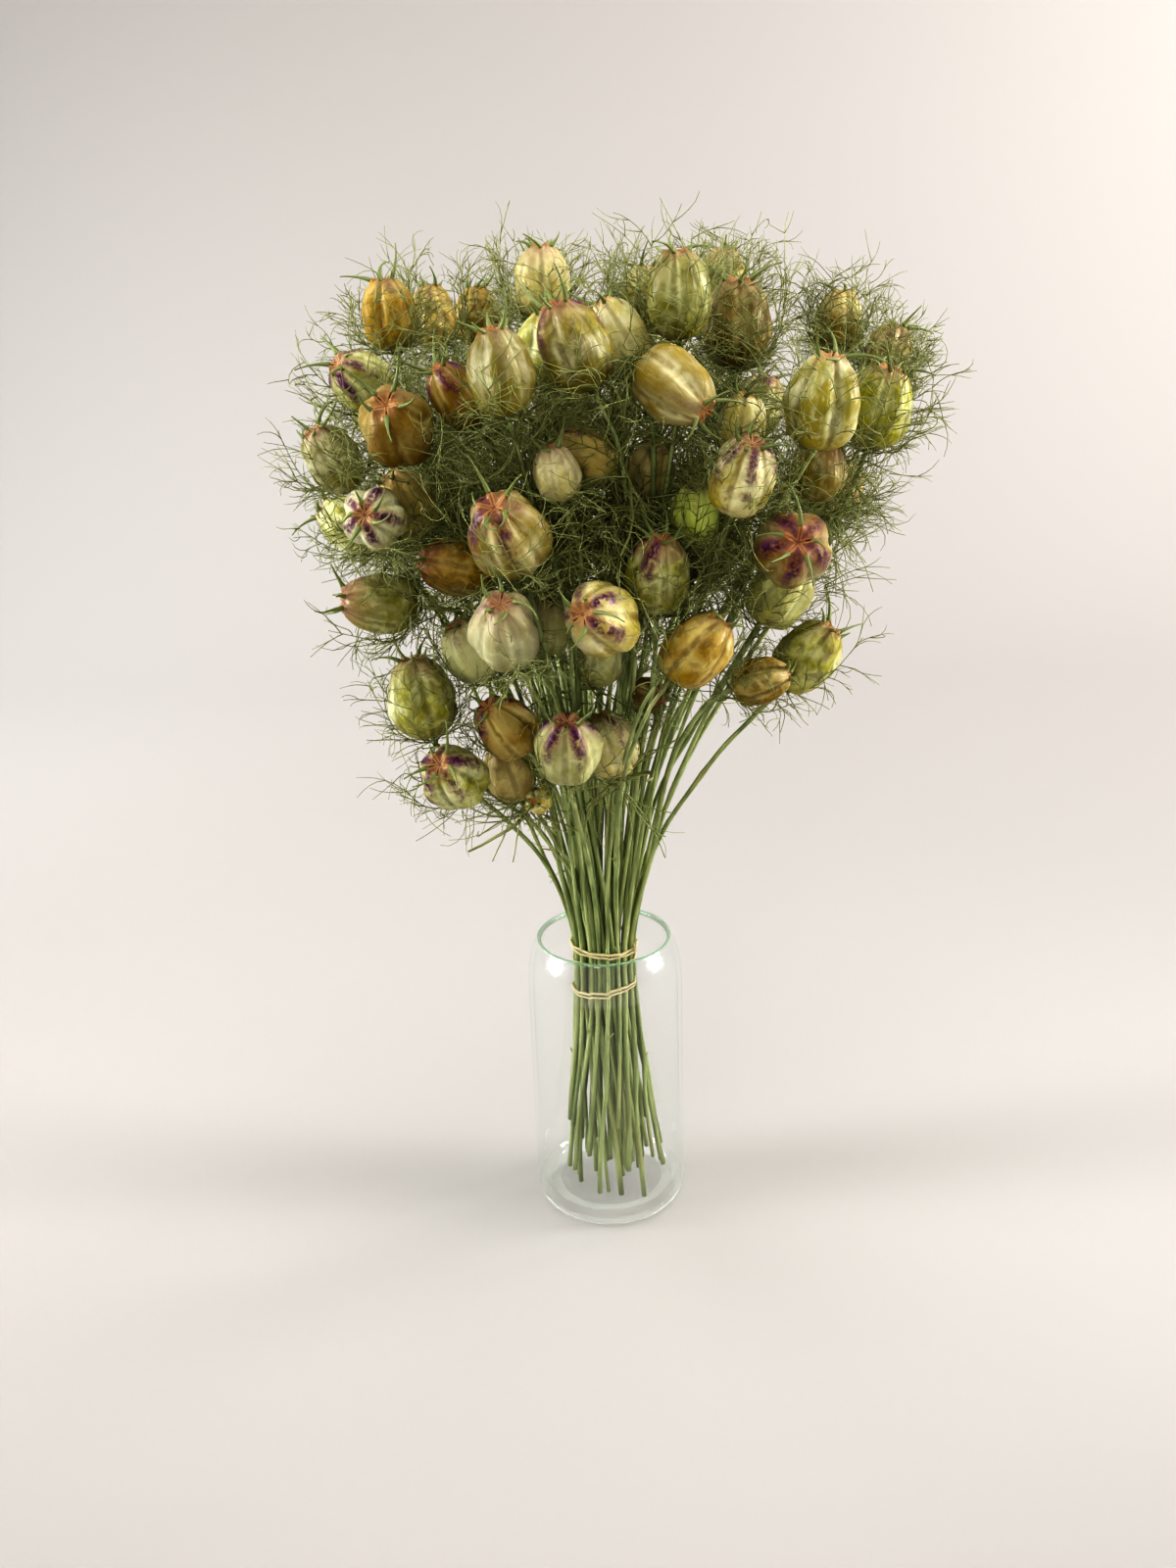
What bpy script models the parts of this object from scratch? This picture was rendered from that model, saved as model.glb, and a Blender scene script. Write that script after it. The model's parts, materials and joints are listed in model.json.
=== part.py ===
"""A bunch of dried nigella seed pods, bound with two bands and standing in a glass vase.

Every stalk is one grown piece: a ribbed stem that swells into a capsule of five lobes and ends in
the flared crown of the five styles. A few stalks fork and carry a second capsule. The stalks stand
on the vase's floor, run side by side through the bands, and fan out above the rim.

The origin is the centre of the vase's foot, +Z is up and -Y is the front. Sizes are in millimetres
and become metres where Blender's objects are made.
"""

import math
from dataclasses import dataclass

import bmesh
import bpy
import numpy as np

MM = 0.001

# The vase: a straight tumbler with a rounded shoulder and a slightly narrower mouth.
VASE_HEIGHT = 146.5
VASE_RADIUS = 38.0
WALL = 2.0
RIM_RADIUS = 33.3
RIM_WALL = 2.4
FLOOR = 7.0
FLOOR_RADIUS = 29.0
FOOT_RADIUS = 30.0
SHOULDER = 25.0
VASE_STEPS = 32

# The bound waist of the bunch, where the stalks stand in rings round one stalk.
RINGS = (1, 6, 12, 18, 20)
RING_PITCH = 3.8
WAIST_LOW = 114.0
WAIST_HIGH = 148.0
FOOT_SPREAD = 1.65
FOOT_TWISTS = (0, 35, -30, 30, -25)
FOOT_SHIFT = (2.0, 0.0)
FOOT_GAP = 0.7
FOOT_STEPS = (0.0, 5.0, 0.0, 9.0, 0.0, 13.0, 2.0)
FAN_CENTRE = 90.0

# The stalks.
STEM_RADII = (1.55, 1.4, 1.65, 1.45, 1.6)
SHOOT_RADIUS = 1.25
RIB_DEPTH = 0.8
LOBES = 5
POD_LENGTH = 1.25
POD_RINGS = ((0.18, 0.8), (0.45, 1.0), (0.72, 0.86), (0.95, 0.32), (1.12, 0.58))
STEM_STEPS = (0.3, 0.6, 0.85)
STEM_SPREAD = 0.25
SHOOT_STEPS = (0.55,)

# How the crowded stems and capsules are moved apart.
CLEARANCE = 0.7
STEM_YIELDS = 8.0
EASE = 0.04
SETTLINGS = 2
SETTLE_TURNS = 300

# The bands: one level near the rim, one lower and tilted.
BAND_RADIUS = 0.8
BAND_GAP = 0.35
BAND_POINTS = 24
BANDS = (("upper_band", 141.0, 3.0, -60.0), ("lower_band", 121.5, 8.0, 150.0))

# What the capsules look like. The striped ones carry purple bands down their lobes.
FINISHES = {
    "silver": (0.62, 0.65, 0.42),
    "straw": (0.72, 0.62, 0.36),
    "amber": (0.55, 0.33, 0.10),
    "olive": (0.36, 0.36, 0.13),
    "lime": (0.34, 0.45, 0.10),
    "dusky": (0.26, 0.16, 0.09),
    "silver_striped": (0.60, 0.60, 0.42),
    "straw_striped": (0.70, 0.58, 0.36),
    "amber_striped": (0.50, 0.28, 0.12),
    "olive_striped": (0.34, 0.30, 0.14),
}

# Where each capsule sits: x, y, z of its middle, its lean from upright and the compass heading of
# that lean in degrees (0 to the right, 90 to the back), its width and its finish.
STALKS = (
    # the top of the bunch, from left to right
    (-82, -5, 441, 6, -150, 24, "amber"),
    (-67, 35, 437, 8, 100, 22, "amber"),
    (-48, 58, 435, 12, 110, 22, "amber"),
    (-17, -8, 452, 4, -90, 24, "straw"),
    (-16, -48, 428, 6, -90, 24, "olive"),
    (14, -60, 434, 28, -168, 24, "straw"),
    (34, -65, 447, 6, -115, 27, "olive"),
    (61, -38, 435, 5, -95, 28, "dusky"),
    (62, 30, 448, 6, 85, 23, "straw"),
    (116, 45, 428, 14, 60, 23, "dusky"),
    (133, 15, 417, 22, 5, 20, "straw"),
    # the upper front
    (-91, -40, 417, 55, -133, 24, "olive_striped"),
    (-73, -88, 405, 56, -98, 29, "amber"),
    (-51, -70, 414, 33, -157, 22, "amber_striped"),
    (-32, -103, 425, 9, -146, 26, "silver"),
    (-5, -86, 432, 23, -164, 28, "silver_striped"),
    (38, -93, 414, 122, -39, 27, "straw"),
    (61, -56, 397, 12, -45, 21, "straw"),
    (88, -90, 409, 11, -57, 29, "silver"),
    (117, -48, 401, 14, -20, 27, "olive"),
    (93, -50, 378, 5, -40, 23, "straw"),
    # the middle of the front
    (-107, -33, 386, 31, -145, 24, "silver"),
    (-83, -93, 372, 75, -97, 25, "silver_striped"),
    (-73, -60, 370, 31, -151, 24, "amber"),
    (-14, -92, 386, 15, -129, 18, "straw"),
    (-2, -64, 388, 60, 175, 22, "amber_striped"),
    (-32, -103, 364, 44, -110, 31, "straw_striped"),
    (25, -38, 375, 28, -54, 23, "dusky"),
    (52, -94, 385, 29, -70, 26, "straw_striped"),
    (42, -44, 360, 10, -90, 22, "lime"),
    (78, -89, 353, 70, -91, 31, "straw_striped"),
    (-57, -68, 344, 73, -163, 25, "amber"),
    (24, -87, 344, 14, -72, 26, "olive_striped"),
    (77, -54, 329, 32, -10, 26, "olive"),
    (-83, -74, 329, 80, -165, 25, "olive"),
    (-35, -107, 332, 38, -92, 28, "silver"),
    (3, -104, 333, 71, -116, 29, "straw_striped"),
    (-18, -64, 319, 20, -70, 22, "olive"),
    # the lower front
    (40, -91, 315, 43, 5, 26, "amber"),
    (-52, -69, 311, 30, -152, 23, "olive"),
    (1, -48, 299, 16, -80, 21, "olive"),
    (-72, -74, 296, 12, 150, 28, "olive"),
    (68, -71, 295, 74, -8, 20, "dusky"),
    (90, -51, 299, 39, -13, 27, "olive"),
    (-39, -69, 280, 41, -136, 25, "amber_striped"),
    (-13, -84, 273, 28, -89, 27, "olive_striped"),
    (-63, -77, 265, 52, -109, 28, "olive_striped"),
    (3, -51, 265, 14, -160, 24, "straw_striped"),
    (-39, -49, 251, 20, -130, 23, "dusky"),
    # the back
    (-96, 38, 398, 38, 155, 25, "olive"),
    (-60, 84, 396, 36, 125, 27, "straw"),
    (-12, 96, 390, 34, 97, 26, "amber"),
    (38, 94, 403, 30, 72, 28, "silver"),
    (83, 77, 388, 40, 45, 26, "olive_striped"),
    (-32, 92, 322, 58, 108, 27, "olive"),
    (66, 70, 330, 55, 48, 25, "straw"),
    (10, 74, 276, 50, 84, 26, "amber"),
)

# A second capsule on a side shoot: the stalk that bears it, then the same values.
SHOOTS = (
    (4, -20, 44, 447, 8, 100, 22),
    (9, 28, 62, 440, 14, 80, 24),
    (10, 112, 22, 356, 52, 15, 24),
    (50, -108, 10, 350, 60, 172, 25),
    (51, -84, 62, 340, 60, 140, 23),
    (52, 18, 92, 336, 60, 85, 25),
    (55, -52, 62, 277, 52, 125, 23),
    (57, 54, 48, 281, 58, 35, 22),
)


@dataclass
class Stem:
    """A stalk or a side shoot: the way it grows and the capsule at its end."""

    route: np.ndarray  # points from its foot to the capsule's base
    radius: float
    width: float  # of the capsule
    axis: np.ndarray  # from the capsule's base to its crown
    family: int  # the stalk it belongs to
    held: int  # how many points from the foot stay where they are

    @property
    def length(self):
        return POD_LENGTH * self.width

    def rods(self):
        """The stem as rods between points of its route, and the capsule as a thick rod and a thin
        one that hang on the last point: two point numbers, two offsets and a radius for each."""
        last = len(self.route) - 1
        rods = [((k, k + 1), (0.0, 0.0), self.radius) for k in range(last)]
        rods.append(((last, last), (0.36, 0.66), self.width / 2))
        rods.append(((last, last), (0.95, 1.1), self.width * 0.3))
        return [(ends, np.outer(shares, self.length * self.axis), radius) for ends, shares, radius in rods]


def unit(vectors):
    return vectors / np.linalg.norm(vectors, axis=-1, keepdims=True)


def capsule_axis(lean, heading):
    """The direction from base to crown of a capsule, from its lean and heading in degrees."""
    lean, heading = math.radians(lean), math.radians(heading)
    return np.array([math.sin(lean) * math.cos(heading), math.sin(lean) * math.sin(heading), math.cos(lean)])


def waist_places():
    """The ring and the place in the waist of each stalk: those that spread most stand outermost."""
    spread = np.array([(x / (z - FAN_CENTRE), y / (z - FAN_CENTRE)) for x, y, z, *_ in STALKS])
    from_inner = np.argsort(np.hypot(*spread.T), kind="stable")
    places = [None] * len(STALKS)
    taken = 0
    for ring, count in enumerate(RINGS):
        members = from_inner[taken : taken + count]
        taken += count
        heading = np.arctan2(spread[members, 1], spread[members, 0])
        members = members[np.argsort(heading)]
        steps = np.arange(count) * 2 * math.pi / count
        drift = np.sort(heading) - steps
        start = math.atan2(np.sin(drift).mean(), np.cos(drift).mean())
        for member, step in zip(members, steps):
            places[member] = ring, start + step
    return places


def rising_route(start, end, axis, steps):
    """Points from start to end: the stem leaves upwards, bends over and meets the capsule square."""
    s = np.array([*steps, 1.0])[:, None]
    reach = np.linalg.norm(end - start)
    leaving = 1.2 * reach * unit((end - start) * (STEM_SPREAD, STEM_SPREAD, 1))
    arriving = 0.6 * reach * axis
    rise = (
        (2 * s**3 - 3 * s**2 + 1) * start
        + (s**3 - 2 * s**2 + s) * leaving
        + (3 * s**2 - 2 * s**3) * end
        + (s**3 - s**2) * arriving
    )
    return np.vstack([start, rise])


def capsule_base(x, y, z, lean, heading, width):
    return np.array([x, y, z]) - 0.5 * POD_LENGTH * width * capsule_axis(lean, heading)


def on_circle(radius, angle, height):
    return np.array([radius * math.cos(angle), radius * math.sin(angle), height])


def main_stem(number, row, ring, angle):
    """A stalk from the vase's floor through its place in the waist to its capsule."""
    foot_height = FLOOR + FOOT_GAP + FOOT_STEPS[number % len(FOOT_STEPS)]
    foot_angle = angle + math.radians(FOOT_TWISTS[ring])
    foot = on_circle(FOOT_SPREAD * RING_PITCH * ring, foot_angle, foot_height) + (*FOOT_SHIFT, 0)
    low, high = (on_circle(RING_PITCH * ring, angle, height) for height in (WAIST_LOW, WAIST_HIGH))
    axis = capsule_axis(*row[3:5])
    route = np.vstack([foot, low, rising_route(high, capsule_base(*row[:6]), axis, STEM_STEPS)])
    return Stem(route, STEM_RADII[number % len(STEM_RADII)], row[5], axis, number, held=3)


def shoot_start(parent):
    """Where a side shoot leaves its stalk: half-way up the part above the waist."""
    return (parent.route[3] + parent.route[4]) / 2


def side_shoot(parent, row):
    axis = capsule_axis(*row[3:5])
    route = rising_route(shoot_start(parent), capsule_base(*row), axis, SHOOT_STEPS)
    return Stem(route, SHOOT_RADIUS, row[5], axis, parent.family, held=1)


def nearest_shares(p, u, q, v):
    """Where two rods, p to p + u and q to q + v, come nearest: the share along each."""
    w = p - q
    a, b, c = (u * u).sum(-1), (u * v).sum(-1), (v * v).sum(-1)
    d, e = (u * w).sum(-1), (v * w).sum(-1)
    s = np.clip((b * e - c * d) / np.maximum(a * c - b * b, 1e-9), 0, 1)
    t = np.clip((b * s + e) / c, 0, 1)
    s = np.clip((b * t - d) / a, 0, 1)
    return s, t


def settle(stems):
    """Moves stems and capsules apart until none is within the clearance of another."""
    firsts = np.cumsum([0] + [len(stem.route) for stem in stems])
    points = np.vstack([stem.route for stem in stems])
    loose = np.concatenate([np.arange(len(stem.route)) >= stem.held for stem in stems])
    homes = points.copy()
    bases = firsts[1:] - 1
    inner = np.setdiff1d(np.flatnonzero(loose), bases)
    ends, offsets, radii, family = zip(
        *[(np.add(ends, a), offset, radius, stem.family)
          for a, stem in zip(firsts, stems) for ends, offset, radius in stem.rods()]
    )
    ends, offsets, radii, family = np.array(ends), np.array(offsets), np.array(radii), np.array(family)
    capsule = ends[:, 0] == ends[:, 1]
    yields = np.where(capsule, 1.0, STEM_YIELDS)
    one, two = np.triu_indices(len(ends), 1)
    strangers = family[one] != family[two]
    one, two = one[strangers], two[strangers]
    for turn in range(SETTLE_TURNS):
        tips = points[ends] + offsets
        start, along = tips[:, 0], tips[:, 1] - tips[:, 0]
        middle, reach = tips.mean(axis=1), np.linalg.norm(along, axis=1) / 2 + radii
        near = np.linalg.norm(middle[one] - middle[two], axis=1) < reach[one] + reach[two] + CLEARANCE
        a, b = one[near], two[near]
        s, t = nearest_shares(start[a], along[a], start[b], along[b])
        gap = start[a] + s[:, None] * along[a] - start[b] - t[:, None] * along[b]
        distance = np.linalg.norm(gap, axis=1)
        short = radii[a] + radii[b] + CLEARANCE - distance
        if short.max() < 0.1 * CLEARANCE:
            break
        push = (0.5 * np.clip(short, 0, None) / np.maximum(distance, 1e-6))[:, None] * gap
        share_a = (yields[a] / (yields[a] + yields[b]))[:, None]
        move = np.zeros_like(points)
        for rods, share, pushed in ((a, s, share_a * push), (b, t, (share_a - 1) * push)):
            shares = np.stack([1 - share, share], axis=1)
            grip = np.where(capsule[rods], 1, (loose[ends[rods]] * shares**2).sum(axis=1))
            for k in (0, 1):
                np.add.at(move, ends[rods, k], (shares[:, k] / np.maximum(grip, 0.15))[:, None] * pushed)
        points += loose[:, None] * move
        ease = EASE * (1 - turn / SETTLE_TURNS)
        moved = points - homes
        points[inner] += ease * ((moved[inner - 1] + moved[inner + 1]) / 2 - moved[inner])
        points[bases] -= ease * moved[bases]
    for a, stem in zip(firsts, stems):
        stem.route = points[a : a + len(stem.route)]


def new_object(name, data, colour, roughness, alpha=1.0, collection=None):
    """An object with a material of its own, in the bunch's collection."""
    thing = bpy.data.objects.new(name, data)
    (collection or bpy.data.collections["nigella_bunch"]).objects.link(thing)
    material = bpy.data.materials.new(name)
    material.use_nodes = True
    shader = material.node_tree.nodes["Principled BSDF"]
    shader.inputs["Base Color"].default_value = (*colour, 1.0)
    shader.inputs["Roughness"].default_value = roughness
    shader.inputs["Metallic"].default_value = 0.0
    shader.inputs["Alpha"].default_value = alpha
    data.materials.append(material)
    return thing


def poly_curve(name, points, radii, cyclic=False):
    """A curve of straight runs through points in millimetres, with a thickness factor at each."""
    curve = bpy.data.curves.new(name, "CURVE")
    curve.dimensions = "3D"
    curve.use_fill_caps = not cyclic
    spline = curve.splines.new("POLY")
    spline.points.add(len(points) - 1)
    spline.use_cyclic_u = cyclic
    for point, place, radius in zip(spline.points, points, radii):
        point.co = (*(MM * np.array(place)), 1.0)
        point.radius = radius
    return curve


def lobed_section():
    """The cross-section of stem and capsule, one millimetre across its crests: five round lobes."""
    outline = bpy.data.curves.new("lobed_section", "CURVE")
    outline.dimensions = "2D"
    spline = outline.splines.new("POLY")
    spline.points.add(2 * LOBES - 1)
    spline.use_cyclic_u = True
    for k, point in enumerate(spline.points):
        reach = MM * (1.0 if k % 2 == 0 else RIB_DEPTH)
        angle = math.pi * k / LOBES
        point.co = (reach * math.cos(angle), reach * math.sin(angle), 0.0, 1.0)
    section = bpy.data.objects.new("lobed_section", outline)
    bpy.data.collections["guides"].objects.link(section)
    section.hide_render = True
    return section


def stem_curve(name, stem, section):
    """Stem and capsule in one sweep: the section grows and shrinks along the stalk."""
    capsule = [stem.route[-1] + share * stem.length * stem.axis for share, _ in POD_RINGS]
    swell = [share * stem.width / 2 for _, share in POD_RINGS]
    curve = poly_curve(name, [*stem.route, *capsule], [stem.radius] * len(stem.route) + swell)
    curve.bevel_mode = "OBJECT"
    curve.bevel_object = section
    return curve


def solid_mesh(name, curve):
    """The curve as a closed mesh, its caps welded on."""
    holder = bpy.data.objects.new(name, curve)
    bpy.data.collections["guides"].objects.link(holder)
    graph = bpy.context.evaluated_depsgraph_get()
    mesh = bpy.data.meshes.new_from_object(holder.evaluated_get(graph))
    mesh.name = name
    bpy.data.objects.remove(holder)
    shape = bmesh.new()
    shape.from_mesh(mesh)
    bmesh.ops.remove_doubles(shape, verts=shape.verts, dist=1e-6)
    bmesh.ops.recalc_face_normals(shape, faces=shape.faces)
    shape.to_mesh(mesh)
    shape.free()
    return mesh


def make_vase():
    """A turned shell: from the floor's centre up the inside, over the rim and down the outside."""
    top, inner = VASE_HEIGHT - SHOULDER, VASE_RADIUS - WALL
    mouth = RIM_RADIUS - RIM_WALL
    profile = (
        (0, FLOOR),
        (FLOOR_RADIUS, FLOOR),
        (inner - 2, FLOOR + 3.5),
        (inner, FLOOR + 11),
        (inner, top),
        (inner - 0.8, top + 10),
        (inner - 2.8, top + 18),
        (mouth, VASE_HEIGHT - 1.5),
        (mouth + 0.6, VASE_HEIGHT - 0.2),
        (RIM_RADIUS - 0.6, VASE_HEIGHT),
        (RIM_RADIUS, VASE_HEIGHT - 1.2),
        (VASE_RADIUS - 2.4, top + 18.5),
        (VASE_RADIUS - 0.6, top + 10),
        (VASE_RADIUS, top),
        (VASE_RADIUS, 11),
        (VASE_RADIUS - 1.2, 5),
        (VASE_RADIUS - 3.5, 1.6),
        (FOOT_RADIUS, 0),
        (0, 0),
    )
    mesh = bpy.data.meshes.new("vase")
    mesh.from_pydata([(MM * r, 0, MM * z) for r, z in profile], [(k, k + 1) for k in range(len(profile) - 1)], [])
    vase = new_object("vase", mesh, (0.86, 0.92, 0.88), 0.03, alpha=0.3)
    turn = vase.modifiers.new("turn", "SCREW")
    turn.steps = turn.render_steps = VASE_STEPS
    turn.use_merge_vertices = True
    turn.merge_threshold = 0.00001
    turn.use_smooth_shade = True


def make_bands():
    """Two round elastic bands, each just clear of the outermost ring of stems."""
    reach = (len(RINGS) - 1) * RING_PITCH + max(STEM_RADII) + BAND_GAP + BAND_RADIUS
    for name, height, tilt, heading in BANDS:
        ring = []
        for k in range(BAND_POINTS):
            angle = 2 * math.pi * k / BAND_POINTS
            rise = reach * math.tan(math.radians(tilt)) * math.cos(angle - math.radians(heading))
            ring.append((reach * math.cos(angle), reach * math.sin(angle), height + rise))
        curve = poly_curve(name, ring, [1.0] * len(ring), cyclic=True)
        curve.bevel_depth = MM * BAND_RADIUS
        curve.bevel_resolution = 1
        new_object(name, curve, (0.62, 0.50, 0.30), 0.6)


def make_stalks():
    """Every stalk, with the side shoots joined to the stalks that bear them."""
    stalks = [main_stem(k, row, *place) for k, (row, place) in enumerate(zip(STALKS, waist_places()))]
    shoots = [side_shoot(stalks[number - 1], row) for number, *row in SHOOTS]
    for _ in range(SETTLINGS):
        settle(stalks + shoots)
        for shoot in shoots:
            shoot.route[0] = shoot_start(stalks[shoot.family])

    section = lobed_section()
    for number, stalk in enumerate(stalks):
        name = f"stalk_{number + 1:02d}"
        colour = FINISHES[STALKS[number][6]]
        body = new_object(name, solid_mesh(name, stem_curve(name, stalk, section)), colour, 0.5)
        for shoot in shoots:
            if shoot.family != number:
                continue
            branch = bpy.data.objects.new("shoot", solid_mesh("shoot", stem_curve("shoot", shoot, section)))
            bpy.data.collections["guides"].objects.link(branch)
            branch.hide_render = True
            branch.display_type = "WIRE"
            join = body.modifiers.new("side_shoot", "BOOLEAN")
            join.operation = "UNION"
            join.object = branch


for thing in list(bpy.data.objects):
    bpy.data.objects.remove(thing)
for title in ("nigella_bunch", "guides"):
    collection = bpy.data.collections.new(title)
    bpy.context.scene.collection.children.link(collection)
make_vase()
make_bands()
make_stalks()
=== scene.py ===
"""A bunch of dried nigella stalks with their inflated seed pods, bound and standing in a glass vase.

The stalks' places, sizes and forks come from the solids of the frame. Each section below makes one
kind of piece, in the order in which such a bunch is put together.
"""

import json
import math
import random

import bmesh
import bpy
from mathutils import Matrix, Vector, noise


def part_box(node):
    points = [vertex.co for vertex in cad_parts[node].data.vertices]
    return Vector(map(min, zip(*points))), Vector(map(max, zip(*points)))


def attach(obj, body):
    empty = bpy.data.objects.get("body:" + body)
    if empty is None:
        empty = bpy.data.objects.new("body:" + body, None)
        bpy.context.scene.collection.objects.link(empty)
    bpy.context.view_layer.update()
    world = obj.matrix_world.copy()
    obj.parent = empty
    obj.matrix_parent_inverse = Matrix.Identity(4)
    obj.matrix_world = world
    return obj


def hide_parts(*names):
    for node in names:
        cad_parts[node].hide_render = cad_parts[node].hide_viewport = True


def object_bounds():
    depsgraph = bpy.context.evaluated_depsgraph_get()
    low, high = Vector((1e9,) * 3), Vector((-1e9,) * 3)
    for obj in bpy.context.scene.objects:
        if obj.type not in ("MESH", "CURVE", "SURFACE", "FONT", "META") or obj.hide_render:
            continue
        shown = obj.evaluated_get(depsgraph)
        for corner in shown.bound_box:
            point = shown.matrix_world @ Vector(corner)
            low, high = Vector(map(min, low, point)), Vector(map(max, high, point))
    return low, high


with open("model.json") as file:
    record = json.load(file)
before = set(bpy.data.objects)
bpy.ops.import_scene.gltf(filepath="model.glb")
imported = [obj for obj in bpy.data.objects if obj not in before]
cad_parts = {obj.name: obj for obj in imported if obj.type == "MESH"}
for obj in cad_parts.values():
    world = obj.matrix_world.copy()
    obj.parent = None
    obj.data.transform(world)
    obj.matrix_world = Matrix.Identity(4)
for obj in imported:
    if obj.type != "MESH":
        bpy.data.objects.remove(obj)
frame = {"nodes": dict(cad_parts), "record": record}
cad_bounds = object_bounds()

# ---------------------------------------------------------------- Camera
# A phone's wide lens, held a little above the bunch and tipped down at it, and not quite level.
camera = bpy.data.objects.new("camera", bpy.data.cameras.new("camera"))
bpy.context.scene.collection.objects.link(camera)
bpy.context.scene.camera = camera
camera.data.sensor_fit = "VERTICAL"
camera.data.sensor_height = 36.0
camera.data.lens = 34.86
camera.data.clip_start = 0.01
camera.matrix_world = (
    Matrix.Translation((-0.0052, -0.6713, 0.4776))
    @ Matrix.Rotation(math.radians(90 - 20.6), 4, "X")
    @ Matrix.Rotation(math.radians(-1.97), 4, "Z")
)


# ---------------------------------------------------------------- Studio
# A pale seamless sweep of paper and a broad soft light overhead, with a narrow strip and a small
# bright panel at each side, a soft light in front, three more that wash the paper, and a white room
# that fills the shadows.
class Value:
    """A socket of a finish, on which sums can be written as plain Python."""

    def __init__(self, finish, socket):
        self.finish, self.socket = finish, socket

    def math(self, operation, *others):
        return self.finish.node("ShaderNodeMath", {"operation": operation}, (self, *others))

    def __add__(self, other):
        return self.math("ADD", other)

    def __sub__(self, other):
        return self.math("SUBTRACT", other)

    def __mul__(self, other):
        return self.math("MULTIPLY", other)

    def __truediv__(self, other):
        return self.math("DIVIDE", other)

    def __rsub__(self, other):
        return (self * -1) + other

    __radd__, __rmul__ = __add__, __mul__

    def between(self, low, high, to_low=0.0, to_high=1.0):
        """This value brought smoothly from low..high to to_low..to_high, and no further."""
        return self.finish.node(
            "ShaderNodeMapRange",
            {"interpolation_type": "SMOOTHSTEP"},
            {"Value": self, "From Min": low, "From Max": high, "To Min": to_low, "To Max": to_high},
        )

    def line(self, centre, half_width):
        """1 where this value is at the centre, falling to 0 at half_width from it."""
        return (self - centre).math("ABSOLUTE").between(0.0, half_width, 1.0, 0.0)


class Finish:
    """A material, and the one method that adds nodes to it."""

    def __init__(self, name, roughness=0.5, **settings):
        self.material = bpy.data.materials.new(name)
        self.material.use_nodes = True
        self.tree = self.material.node_tree
        self.shader = self.tree.nodes["Principled BSDF"]
        self.output = self.tree.nodes["Material Output"]
        self.put(self.shader, {"Roughness": roughness, **settings})

    def put(self, node, sockets):
        for key, value in sockets.items() if isinstance(sockets, dict) else enumerate(sockets):
            if isinstance(value, Value):
                self.tree.links.new(value.socket, node.inputs[key])
            elif isinstance(value, tuple) and len(value) == 3 and node.inputs[key].type == "RGBA":
                node.inputs[key].default_value = (*value, 1.0)
            else:
                node.inputs[key].default_value = value

    def node(self, kind, settings, sockets=(), out=0):
        node = self.tree.nodes.new(kind)
        for key, value in settings.items():
            setattr(node, key, value)
        self.put(node, sockets)
        return Value(self, node.outputs[out])

    def attribute(self, name):
        """The vector that a piece carries at each of its points under that name, and its three parts."""
        vector = self.node("ShaderNodeAttribute", {"attribute_name": name}, out="Vector")
        parts = self.tree.nodes.new("ShaderNodeSeparateXYZ")
        self.put(parts, (vector,))
        return vector, *(Value(self, output) for output in parts.outputs)

    def noise(self, vector, scale, detail=2.0, distortion=0.0):
        sockets = {"Vector": vector, "Scale": scale, "Detail": detail, "Distortion": distortion}
        return self.node("ShaderNodeTexNoise", {}, sockets, out="Fac")

    def stretched(self, vector, scale):
        return self.node("ShaderNodeVectorMath", {"operation": "MULTIPLY"}, (vector, scale))

    def place(self):
        return self.node("ShaderNodeTexCoord", {}, out="Object")

    def mix(self, share, one, other):
        return self.node("ShaderNodeMix", {"data_type": "RGBA"}, {0: share, 6: one, 7: other}, out=2)

    def bump(self, height, distance):
        sockets = {"Height": height, "Distance": distance, "Strength": 1.0}
        self.put(self.shader, {"Normal": self.node("ShaderNodeBump", {}, sockets)})


def mesh_piece(name, shape, finishes):
    """An object at the origin from a bmesh, shaded smooth."""
    mesh = bpy.data.meshes.new(name)
    shape.to_mesh(mesh)
    shape.free()
    for finish in finishes:
        mesh.materials.append(finish.material)
    mesh.shade_smooth()
    piece = bpy.data.objects.new(name, mesh)
    bpy.context.scene.collection.objects.link(piece)
    return piece


def newest(extruded):
    return [e for e in extruded if isinstance(e, bmesh.types.BMEdge)], [
        v for v in extruded if isinstance(v, bmesh.types.BMVert)
    ]


paper = Finish("studio_paper", roughness=0.9)
paper.put(paper.shader, {"Base Color": (0.43, 0.414, 0.402)})
sweep = bmesh.new()
front_edge = [sweep.verts.new((x, -1.6, 0.0)) for x in (-2.2, 2.2)]
edges = [sweep.edges.new(front_edge)]
edges, verts = newest(bmesh.ops.extrude_edge_only(sweep, edges=edges)["geom"])
bmesh.ops.translate(sweep, verts=verts, vec=(0, 2.5, 0))
bent = bmesh.ops.spin(
    sweep, geom=edges + verts, cent=(0, 0.9, 0.8), axis=(1, 0, 0), angle=math.radians(90), steps=16
)["geom_last"]
edges, verts = newest(bmesh.ops.extrude_edge_only(sweep, edges=newest(bent)[0])["geom"])
bmesh.ops.translate(sweep, verts=verts, vec=(0, 0, 1.6))
bmesh.ops.recalc_face_normals(sweep, faces=sweep.faces)
mesh_piece("backdrop", sweep, [paper])


def soft_box(name, place, aim, size, watts, colour, spread=180):
    light = bpy.data.lights.new(name, "AREA")
    light.shape, light.size, light.size_y = "RECTANGLE", *size
    light.energy, light.color, light.spread = watts, colour, math.radians(spread)
    lamp = bpy.data.objects.new(name, light)
    bpy.context.scene.collection.objects.link(lamp)
    lamp.matrix_world = Matrix.Translation(place) @ (Vector(aim) - Vector(place)).to_track_quat(
        "-Z", "Y"
    ).to_matrix().to_4x4()


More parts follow.
